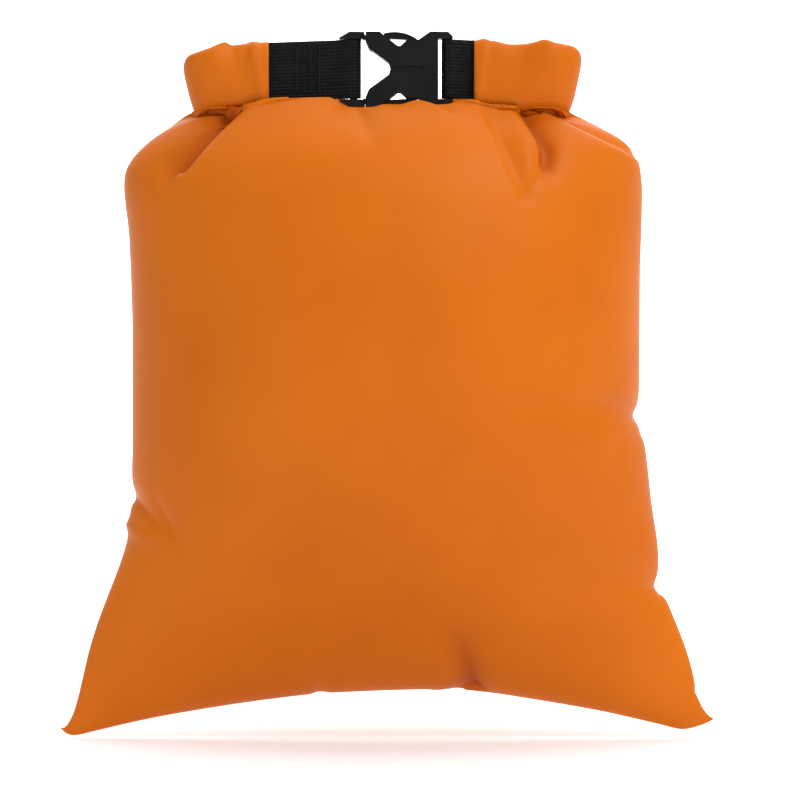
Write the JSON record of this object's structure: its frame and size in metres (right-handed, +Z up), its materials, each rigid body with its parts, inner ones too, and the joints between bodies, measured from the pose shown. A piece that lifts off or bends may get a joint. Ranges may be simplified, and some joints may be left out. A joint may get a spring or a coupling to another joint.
{
  "type": "roll-top dry bag",
  "caption": "Filled roll-top dry bag of coated cloth, its mouth rolled into a carry loop and closed by webbing and a side-release buckle.",
  "frame": {"origin": "middle of the bag at the level of the two bottom corners", "axes": "+Z up towards the rolled mouth, -Y is the side with the buckle, +X to the right seen from the buckle side"},
  "size_m": [0.287, 0.134, 0.3021],
  "materials": {
    "orange_cloth": "coated polyester with a soft sheen",
    "seam_tape": "heat-sealed tape",
    "stiffener": "flexible strip",
    "webbing": "ribbed woven polyester",
    "thread": "bonded thread",
    "buckle_plastic": "moulded acetal, fine satin"
  },
  "bodies": {
    "bag": {"front_panel": "orange_cloth", "back_panel": "orange_cloth", "left_seam_tape": "seam_tape", "right_seam_tape": "seam_tape", "bottom_seam_tape": "seam_tape", "back_roll": "orange_cloth", "right_roll_end": "orange_cloth", "mouth_stiffener": "stiffener", "right_strap": "webbing", "right_strap_stitching": "thread", "buckle_socket": "buckle_plastic"},
    "plug_side": {"left_roll_end": "orange_cloth", "left_strap": "webbing", "left_strap_stitching": "thread", "buckle_plug": "buckle_plastic"},
    "upper_prong": {"upper_prong": "buckle_plastic"},
    "lower_prong": {"lower_prong": "buckle_plastic"}
  },
  "joints": [
    {"name": "buckle_release", "type": "slide", "parent": "bag", "child": "plug_side", "axis": [-1, 0, 0], "range_m": [0, 0.024], "deforming": ["upper_prong", "lower_prong"]},
    {"name": "upper_prong_press", "type": "hinge", "parent": "plug_side", "child": "upper_prong", "pos_m": [-0.0099, -0.024, 0.29966], "axis": [0, 1, 0], "range_deg": [0, 8], "stiffness_Nm_per_rad": 0.2},
    {"name": "lower_prong_press", "type": "hinge", "parent": "plug_side", "child": "lower_prong", "pos_m": [-0.0099, -0.024, 0.27186], "axis": [0, -1, 0], "range_deg": [0, 8], "stiffness_Nm_per_rad": 0.2}
  ]
}
